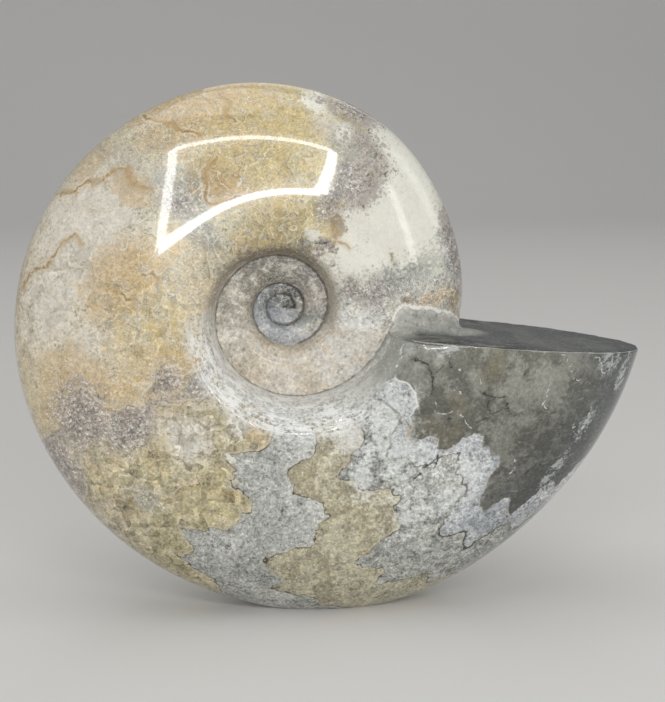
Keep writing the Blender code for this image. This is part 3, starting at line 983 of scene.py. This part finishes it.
def sutureLines(at, colour):  # dark in grey stone, tan and faint in warm stone, with a pale lip behind
    onFlank = fade(at.share, 0.06, 0.10) * fade(at.turn, -0.93, -0.90) * at.plain
    bold = fade(at.turn + at.swell * 0.05, -0.35, -0.28)
    lastOnes = fade(at.turn, -0.18, -0.12)
    thin = fade(at.beside / (lastOnes * 0.16 + 0.13), 1.5, 0.4) * onFlank
    pale = fade(at.behind, 0.12, 0.35) * fade(at.behind, 1.0, 0.4) * onFlank
    wide = fade(at.beside, 1.6, 0.3) * onFlank
    strength = bold * least(0.2 + at.patchy * 0.7 + lastOnes * 0.25, 0.9) + (1 - bold) * at.patchy * 0.45
    ghostly = fade(cloud(at.mm, 8.0, 1.0, output=1), 0.48, 0.56) * onFlank * (1 - bold)
    fringe = fade(at.fromGhost, 0.15, 0.35) * fade(at.fromGhost, 1.3, 0.4) * ghostly
    return painted(
        colour,
        (wide * (at.warmth * 0.22 + bold * 0.08), "97845e"),
        (pale * (0.2 + 0.2 * at.warmth), "eee8d6"),
        (thin * strength, blended(bold, "87693f", "24221f")),
        (fringe * at.warmth * 0.4, "a98f60"),
        (fade(at.fromGhost, 0.28, 0.06) * ghostly * (0.2 + at.warmth * 0.5), "eee5cf"),
    )


def wallStone(at, colour):  # the wall down to the navel, and its frosted shoulder with painted glints
    at.wall = fade(at.share + at.wave * 0.05, 0.10, 0.045)
    tone = scaled(ramp(wallTones, at.turn, -1, 0), 1 + (at.streaks - 0.5) * 1.1 + at.grit * 0.7)
    shoulder = fade(at.turn, -0.52, -0.42) * fade(at.turn, -0.07, -0.16)
    shoulder = shoulder * fade(at.share, -0.02, 0.04) * fade(at.share, 0.19, 0.11)
    # white on the shoulder: partly chalky frost, partly painted highlight where the lamps glint
    at.frost = fade(at.streaks + at.grit * 0.6, 0.36, 0.54) * shoulder
    at.scratch = midline(at.streaks, 0.004, 0.02) * shoulder
    return painted(
        colour,
        (at.wall * fade(at.turn, -1.02, -0.98) * 0.9, blended(at.salt * 0.4, tone, "e8e5dc")),
        (at.frost * 0.85, "f5f5f1"),
        (at.scratch * 0.55, "4f4c45"),
    )


def mudstone(at):
    tone = painted(
        "5e5d53",
        (fade(at.broad + at.wave * 0.6, 0.42, 0.58), "807f75"),
        (at.brownMask * 0.7, "68644f"),
        (fade(at.share + at.swell * 0.2, 0.26, 0.12) * 0.6, "8d8d85"),
        # painted reflection: darker and bluish towards the rim, as if the rim mirrored dark surroundings
        (fade(at.share + at.wave * 0.3, 0.60, 0.95) * 0.9, "3b4244"),
        (at.smudges * 0.25, "504e45"),
        (at.pepper * 0.20, "3f3d36"),
        (at.salt * 0.18, "a6a59c"),
        (at.web * 0.22 * fade(at.broad, 0.45, 0.6), "a8a79f"),
        (at.pores * 0.5, "2b2924"),
        (at.specks * 0.55, "c4c5bf"),
    )
    alongMouth = fade(at.turn, -0.045, -0.012) * fade(at.share, 0.85, 0.5)
    outwards = fade(at.turn, -0.025, -0.060) * fade(at.share, 0.40, 0.75)
    uneven = at.wave * 1.1 + at.ripple * 0.9 + at.grit * 0.9
    tone = scaled(tone, 1 + uneven + alongMouth * 0.34 - outwards * 0.30)
    scratches = cloud(plane(at.share * 22 + at.turn * 30, at.turn * 330 - at.share * 40), 1.0, 2.0, 0.6)
    return painted(
        tone,
        (fade(scratches, 0.60, 0.70) * fade(at.share, 0.40, 0.75) * 0.22, "b4b9ba"),
        # pale patches in the mud; by the mouth's edge they are partly painted glints
        (at.creamMask * fade(scratches + at.grit * 0.5, 0.38, 0.56) * 0.7, "c2c5c3"),
    )


def strayLines(at, colour):  # cracks, veins and tan bands
    fineAlong, fineAcross, _ = parts(at.fineCurl)
    wobble = [fineAlong * 2.2 + at.grit * 0.8, fineAcross * 2.2]
    notFace = 1 - at.face
    kinds = ("tanLines", "paleLines", "darkLines")
    band, vein, crack = (lineDistance(attribute(kind), *wobble) for kind in kinds)
    beside = fade(band, 0.40, 0.55) * fade(band, 1.0, 0.7)
    return painted(
        colour,
        (fade(band, 1.4, 0.2) * notFace * 0.5, "b4935a"),
        (fade(band, 0.35, 0.05) * notFace * (0.25 + at.patchy * 0.5), "8c7143"),
        (beside * notFace * at.patchy * 0.5, "efe7d2"),
        (fade(vein, 0.24, 0.06) * notFace * (0.6 + at.patchy * 0.3), "eaeae4"),
        (fade(crack, 0.9, 0.2) * notFace * 0.3, "3a3831"),
        (fade(crack, 0.31, 0.12) * notFace * 0.95, "1a1815"),
    )


def navelStone(at, colour):
    browner = fade(at.broad + at.wave * 0.5, 0.50, 0.62) * fade(at.turn, -1.5, -1.35)
    inner = painted(
        ramp(innerTones, at.turn + at.wave * 0.25, -3, -0.9),
        (fade(at.streaks, 0.45, 0.7) * 0.3, "e2dbcd"),
        (fade(at.middling, 0.48, 0.62) * 0.4, "d6d0c2"),
        (browner * 0.5, "b5a283"),
        (at.web * 0.45, "ebe6db"),
        (at.smudges * 0.4, "6a665d"),
        (at.pepper * 0.25, "5b564d"),
        (at.salt * 0.25, "e6e2d7"),
    )
    at.inNavel = fade(at.turn + at.wave * 0.06, -0.99, -1.02)
    # a dark line along the seams: partly grime in the groove, partly painted shadow, stronger where the navel
    # is shadowed
    grimeAndShadow = fade(at.seamGap + at.grit * 0.8, 0.42, 0.05) * fade(at.middling, 0.35, 0.5)
    shadowed = fade(at.turn + at.wave * 0.6, -0.50, -0.65)
    chalk = fade(abs(at.seamGap - 0.7 + at.wave * 1.2), 0.5, 0.1)
    return painted(
        colour,
        (at.inNavel, scaled(inner, 1 + at.wave * 1.1 + at.ripple * 0.9 + at.grit * 0.8)),
        (grimeAndShadow * (0.18 + shadowed * 0.55), "37332b"),
        (chalk * fade(at.middling, 0.45, 0.6) * (1 - shadowed) * 0.7, "e8e6de"),
    )


def mouthStone(at, colour):  # the broken face of the mouth, and the crust where it meets the whorl inside
    at.layered = cloud(vectorMaths("MULTIPLY", at.mm, (0.06, 0.5, 1.2)), 1.0, 4.0, 0.65)
    onFoot = fade(at.crustLine + at.wave * 3.0, 9.5, 4.0)
    streaky = fade(at.share, 0.08, 0.13) * fade(at.share, 0.56, 0.40) * fade(at.mouthEdge, 19.0, 11.0)
    streaky = streaky * fade(at.mouthEdge, 0.8, 2.0)
    tone = painted(
        "484b4c",
        (fade(at.broad, 0.4, 0.6), "5e605d"),
        (onFoot * 0.85, "b1b0a7"),
        (fade(at.crustLine + at.wave * 2.0, 2.5, 0.5) * 0.6, "cbc9c0"),
        (fade(at.layered, 0.49, 0.54) * streaky * 0.9, "2a200f"),
        (fade(at.layered, 0.46, 0.38) * streaky * 0.45, "9b9584"),
        (at.salt * 0.2 + fade(at.mottle, 0.55, 0.66) * onFoot * 0.5, "c6c6be"),
        (at.smudges * onFoot * 0.5, "66655d"),
    )
    at.crust = fade(at.crustLine + at.wave * 2.0 + at.grit * 1.2, 0.5, 0.15)
    # a white line along the mouth's edge: partly rubbed stone, partly painted highlight
    rubAndGlint = fade(at.mouthEdge + at.grit * 0.25, 0.24, 0.05) * (0.6 + fade(at.middling, 0.42, 0.55) * 0.4)
    return painted(
        colour,
        (at.face, scaled(tone, 1 + at.wave * 0.9 + at.ripple * 0.6 + at.grit * 0.7)),
        (at.crust * 0.95 * fade(at.turn, -1.02, -0.99), "f0eee8"),
        (rubAndGlint * 0.85, "e8e9e5"),
    )


def stone():
    material = bpy.data.materials.new("polishedFossilStone")
    material.use_nodes = True
    Wire.tree = material.node_tree
    at = Place()
    sutureFields(at)
    colour = blended(at.mud, sutureLines(at, chamberStone(at)), mudstone(at))
    lip = fade(at.mudAlong, -0.6, -0.25) * fade(at.mudAlong, 0.08, -0.03) * fade(at.share, 0.05, 0.08)
    colour = blended(lip * (0.2 + 0.65 * fade(at.share, 0.26, 0.2)), colour, "eaebe5")
    colour = strayLines(at, wallStone(at, colour))
    colour = mouthStone(at, navelStone(at, colour))

    frosted = least(at.frost + at.scratch + at.wall * 0.5 * (1 - at.inNavel), 1.0)
    dull = least(at.inNavel * 0.8 + at.wall * 0.4 + at.face + at.crust + at.frost * 0.4, 1.0)
    pitted = at.pores * fade(at.white, 0.3, -0.2)
    height = (at.fine + at.layered * at.face) * (dull * 0.8 + 0.035 + pitted * 0.35)
    height = height + at.streaks * frosted * fade(at.crustLine, 1.0, 2.0) * (1 - at.face) * 2.5
    values = {
        "Base Color": colour,
        "Roughness": 0.18 + at.grain * 0.05 + dull * 0.25 + at.grit * 0.10,
        "Coat Weight": 0.85 * (1 - dull.maths("MAXIMUM", frosted)),
        "Normal": Wire.node("Bump", {}, {"Strength": 0.3, "Distance": 0.0002, "Height": height}),
        "Coat Roughness": 0.04,
    }
    shader = material.node_tree.nodes["Principled BSDF"]
    for name, value in values.items():
        if isinstance(value, Wire):
            material.node_tree.links.new(value.socket, shader.inputs[name])
        else:
            shader.inputs[name].default_value = value
    return material


print("mixing the stone")
shell.materials.append(stone())

print("setting up the studio")
studio = {
    "floorColour": "e6e4e0",
    "floorReach": 1.6,
    "floorHalfWidth": 2.5,
    "backdrop": 0.9,  # distance behind the fossil where the floor sweeps up
    "backdropHeight": 2.0,
    "bend": 0.5,
    "bendSteps": 16,
    "skyColour": (0.95, 0.97, 1.0, 1.0),
    "sky": 0.33,
}


def floorSweep():
    reach, start, bend, steps = (studio[name] for name in ("floorReach", "backdrop", "bend", "bendSteps"))
    profile = [(-reach, 0.0), (start, 0.0)]
    for n in range(steps):
        angle = math.pi / 2 * (n + 1) / steps
        profile.append((start + bend * math.sin(angle), bend * (1 - math.cos(angle))))
    profile.append((start + bend, studio["backdropHeight"]))
    corners = [(side * studio["floorHalfWidth"], y, z) for y, z in profile for side in (-1, 1)]
    quads = [(2 * n, 2 * n + 1, 2 * n + 3, 2 * n + 2) for n in range(len(profile) - 1)]
    mesh = bpy.data.meshes.new("floorSweep")
    mesh.from_pydata(corners, [], quads)
    mesh.shade_smooth()
    floor = bpy.data.objects.new("floorSweep", mesh)
    scene.collection.objects.link(floor)
    material = bpy.data.materials.new("palePaper")
    material.use_nodes = True
    shader = material.node_tree.nodes["Principled BSDF"]
    shader.inputs["Base Color"].default_value = paint(studio["floorColour"])
    shader.inputs["Roughness"].default_value = 0.9
    shader.inputs["Specular IOR Level"].default_value = 0.1
    mesh.materials.append(material)


floorSweep()

world = bpy.data.worlds.new("softRoom")
scene.world = world
world.use_nodes = True
background = world.node_tree.nodes["Background"]
background.inputs["Color"].default_value = studio["skyColour"]
background.inputs["Strength"].default_value = studio["sky"]


def direction(azimuth, elevation):  # azimuth from straight in front, towards +X
    azimuth, elevation = math.radians(azimuth), math.radians(elevation)
    return Vector((math.sin(azimuth) * math.cos(elevation), -math.cos(azimuth) * math.cos(elevation),
                   math.sin(elevation)))


def softLight(name, place, width, height, power):
    light = bpy.data.lights.new(name, "AREA")
    light.shape = "RECTANGLE"
    light.size = width
    light.size_y = height
    light.energy = power
    lamp = bpy.data.objects.new(name, light)
    turned = (place - axis).to_track_quat("Z", "Y").to_matrix().to_4x4()
    lamp.matrix_world = Matrix.Translation(place) @ turned
    scene.collection.objects.link(lamp)
    return lamp


def stripLight(name, start, end, width, power):  # a long thin light between two places
    middle = (start + end) / 2
    along = (end - start).normalized()
    back = (middle - axis).normalized()
    back = (back - along * back.dot(along)).normalized()
    across = back.cross(along)
    lamp = softLight(name, middle, (end - start).length, width, power)
    turned = Matrix((along, across, back)).transposed().to_4x4()
    lamp.matrix_world = Matrix.Translation(middle) @ turned


# A frame of strip lights over the camera, a big soft light above, and weaker ones from the right and behind
frameLight = {
    "distance": 0.75,
    "corners": ((-7.0, 4.0), (15.0, 5.0), (25.0, 27.0), (-21.0, 36.0)),
    "width": 0.03,
    "power": 0.55,
}
corners = [axis + direction(*corner) * frameLight["distance"] for corner in frameLight["corners"]]
for n, corner in enumerate(corners):
    following = corners[(n + 1) % 4]
    stripLight("frameStrip%d" % n, corner, following, frameLight["width"], frameLight["power"])
softLights = {
    # place from the coil's axis, width, height, power
    "overhead": (Vector((-0.1, -0.1, 0.9)), 0.9, 0.7, 2.4),
    "fromRight": (direction(75, 20) * 0.9, 0.25, 0.6, 0.45),
    "fromBehind": (direction(165, 45) * 1.0, 0.7, 0.5, 0.7),
}
for name, (fromFossil, width, height, power) in softLights.items():
    softLight(name, axis + fromFossil, width, height, power)
rightStrip = {"distance": 0.9, "top": (41, 18), "foot": (38, -3), "width": 0.07, "power": 0.22}
ends = [axis + direction(*rightStrip[end]) * rightStrip["distance"] for end in ("top", "foot")]
stripLight("rightStrip", *ends, rightStrip["width"], rightStrip["power"])

# The camera looks from the front, a little to the left and from above; the distance is in mouth radii
view = {
    "distance": 3.7781,
    "yaw": 4.2963,
    "pitch": 9.2759,
    "heading": 6.397,
    "tilt": 11.143,
    "lens": 75.79,
    "sensor": 36,
}
cameraData = bpy.data.cameras.new("front")
cameraData.sensor_fit = "HORIZONTAL"
cameraData.sensor_width = view["sensor"]
cameraData.lens = view["lens"]
cameraData.clip_start = 0.01
camera = bpy.data.objects.new("front", cameraData)
place = axis + direction(-view["yaw"], view["pitch"]) * (view["distance"] * size)
forward = -direction(-view["heading"], view["tilt"])
heading = math.radians(view["heading"])
right = Vector((math.cos(heading), -math.sin(heading), 0))
up = right.cross(forward)
camera.matrix_world = Matrix.Translation(place) @ Matrix((right, up, -forward)).transposed().to_4x4()
scene.collection.objects.link(camera)
scene.camera = camera

print("finished the ammonite")
